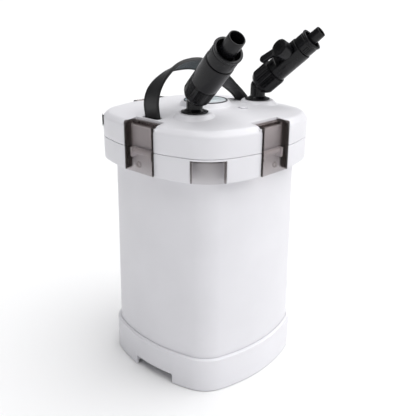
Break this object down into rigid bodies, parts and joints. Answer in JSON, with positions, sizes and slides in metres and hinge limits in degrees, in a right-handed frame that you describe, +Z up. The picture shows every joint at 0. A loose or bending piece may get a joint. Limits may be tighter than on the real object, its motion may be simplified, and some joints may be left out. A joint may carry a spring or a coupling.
{
  "type": "canister filter",
  "caption": "Rounded-square aquarium canister filter: white bucket and clamped pump head, smoke-clear clips, strap handle, priming button and two black hose taps with shut-off levers.",
  "frame": {"origin": "on the floor under the middle of the bucket", "axes": "+Z up through the pump head; the taps lean towards +X, and the intake tap is on the -Y side"},
  "size_m": [0.2402, 0.2364, 0.4485],
  "materials": {
    "white_shell": "satin moulded ABS, white with a slight lavender cast",
    "smoke_clear": "smoke-grey translucent polycarbonate",
    "black_plastic": "satin black",
    "rubber": "matt",
    "grey_plastic": "matt",
    "impeller_plastic": "matt",
    "magnet": "smooth coated ferrite",
    "ceramic": "unglazed ceramic",
    "steel": "bright",
    "button_blue": "pale blue, glossy",
    "foam": "open-cell filter foam"
  },
  "bodies": {
    "container": {"bucket": "white_shell", "base_skirt": "white_shell", "foot_pad_1": "rubber", "foot_pad_2": "rubber", "foot_pad_3": "rubber", "foot_pad_4": "rubber", "clamp_ring": "white_shell", "corner_window": "smoke_clear", "catch_bar_1": "white_shell", "catch_bar_2": "white_shell", "catch_bar_3": "white_shell", "catch_bar_4": "white_shell", "basket_1": "grey_plastic", "coarse_foam": "foam", "basket_2": "grey_plastic", "ceramic_media": "ceramic", "basket_3": "grey_plastic", "fine_foam": "foam", "riser_pipe": "grey_plastic"},
    "pump_head": {"head_cover": "white_shell", "seal_ring": "rubber", "pump_deck": "grey_plastic", "cable_gland": "black_plastic", "handle": "black_plastic", "handle_pin_1": "steel", "handle_pin_2": "steel", "button_bezel": "grey_plastic", "priming_spring": "steel", "clip_pin_1": "steel", "clip_pin_2": "steel", "clip_pin_3": "steel", "clip_pin_4": "steel", "motor_housing": "grey_plastic", "rotor_shaft": "ceramic", "volute_cover": "grey_plastic", "intake_pipe": "grey_plastic", "outlet_pipe": "grey_plastic"},
    "button": {"priming_button": "button_blue"},
    "vent": {"vent_screw": "white_shell"},
    "rotor": {"rotor_magnet": "magnet", "impeller": "impeller_plastic"},
    "clip_1_body": {"clip_1": "smoke_clear"},
    "clip_2_body": {"clip_2": "smoke_clear"},
    "clip_3_body": {"clip_3": "smoke_clear"},
    "clip_4_body": {"clip_4": "smoke_clear"},
    "intake_tap": {"intake_elbow": "black_plastic", "intake_valve_body": "black_plastic", "intake_nozzle": "black_plastic"},
    "intake_coupling": {"intake_nut": "black_plastic"},
    "intake_valve": {"intake_lever": "black_plastic", "intake_valve_ball": "grey_plastic"},
    "intake_collar": {"intake_hose_collar": "black_plastic"},
    "outlet_tap": {"outlet_elbow": "black_plastic", "outlet_valve_body": "black_plastic", "outlet_nozzle": "black_plastic"},
    "outlet_coupling": {"outlet_nut": "black_plastic"},
    "outlet_valve": {"outlet_lever": "black_plastic", "outlet_valve_ball": "grey_plastic"},
    "outlet_collar": {"outlet_hose_collar": "black_plastic"}
  },
  "joints": [
    {"name": "head_lift", "type": "slide", "parent": "container", "child": "pump_head", "axis": [0, 0, 1], "range_m": [0, 0.12]},
    {"name": "clip_1_swing", "type": "hinge", "parent": "pump_head", "child": "clip_1_body", "pos_m": [0.1015, -0.0034, 0.339], "axis": [0, -1, 0], "range_deg": [0, 90]},
    {"name": "clip_2_swing", "type": "hinge", "parent": "pump_head", "child": "clip_2_body", "pos_m": [-0.0034, 0.1015, 0.339], "axis": [1, 0, 0], "range_deg": [0, 90]},
    {"name": "clip_3_swing", "type": "hinge", "parent": "pump_head", "child": "clip_3_body", "pos_m": [-0.1015, 0.0034, 0.339], "axis": [0, 1, 0], "range_deg": [0, 90]},
    {"name": "clip_4_swing", "type": "hinge", "parent": "pump_head", "child": "clip_4_body", "pos_m": [0.0034, -0.1015, 0.339], "axis": [-1, 0, 0], "range_deg": [0, 90]},
    {"name": "button_press", "type": "slide", "parent": "pump_head", "child": "button", "axis": [0, 0, 1], "range_m": [-0.008, 0], "stiffness_N_per_m": 300, "springref_m": 0.004, "deforming": ["priming_spring"]},
    {"name": "vent_turn", "type": "hinge", "parent": "pump_head", "child": "vent", "pos_m": [0.047, 0.018, 0.346], "axis": [0, 0, 1], "range_deg": [0, 180]},
    {"name": "rotor_spin", "type": "hinge", "parent": "pump_head", "child": "rotor", "pos_m": [0, 0, 0.27], "axis": [0, 0, 1], "continuous": true},
    {"name": "intake_swivel", "type": "hinge", "parent": "pump_head", "child": "intake_tap", "pos_m": [0.037, -0.058, 0.352], "axis": [0, 0, 1], "range_deg": [-30, 30]},
    {"name": "intake_nut_turn", "type": "hinge", "parent": "intake_tap", "child": "intake_coupling", "pos_m": [0.05148, -0.06134, 0.38238], "axis": [0.7241, -0.1672, 0.6691], "range_deg": [0, 30]},
    {"name": "intake_lever_turn", "type": "hinge", "parent": "intake_tap", "child": "intake_valve", "pos_m": [0.07683, -0.06719, 0.4058], "axis": [-0.2241, 0.8605, 0.4575], "range_deg": [-90, 0]},
    {"name": "intake_collar_turn", "type": "hinge", "parent": "intake_tap", "child": "intake_collar", "pos_m": [0.0942, -0.07121, 0.42186], "axis": [0.7241, -0.1672, 0.6691], "range_deg": [0, 270]},
    {"name": "outlet_swivel", "type": "hinge", "parent": "pump_head", "child": "outlet_tap", "pos_m": [0.032, 0.066, 0.352], "axis": [0, 0, 1], "range_deg": [-30, 30]},
    {"name": "outlet_nut_turn", "type": "hinge", "parent": "outlet_tap", "child": "outlet_coupling", "pos_m": [0.04621, 0.07035, 0.38238], "axis": [0.7107, 0.2173, 0.6691], "range_deg": [0, 30]},
    {"name": "outlet_lever_turn", "type": "hinge", "parent": "outlet_tap", "child": "outlet_valve", "pos_m": [0.07464, 0.07904, 0.40915], "axis": [-0.1636, -0.874, 0.4575], "range_deg": [0, 90]},
    {"name": "outlet_collar_turn", "type": "hinge", "parent": "outlet_tap", "child": "outlet_collar", "pos_m": [0.09205, 0.08436, 0.42554], "axis": [0.7107, 0.2173, 0.6691], "range_deg": [0, 270]}
  ]
}
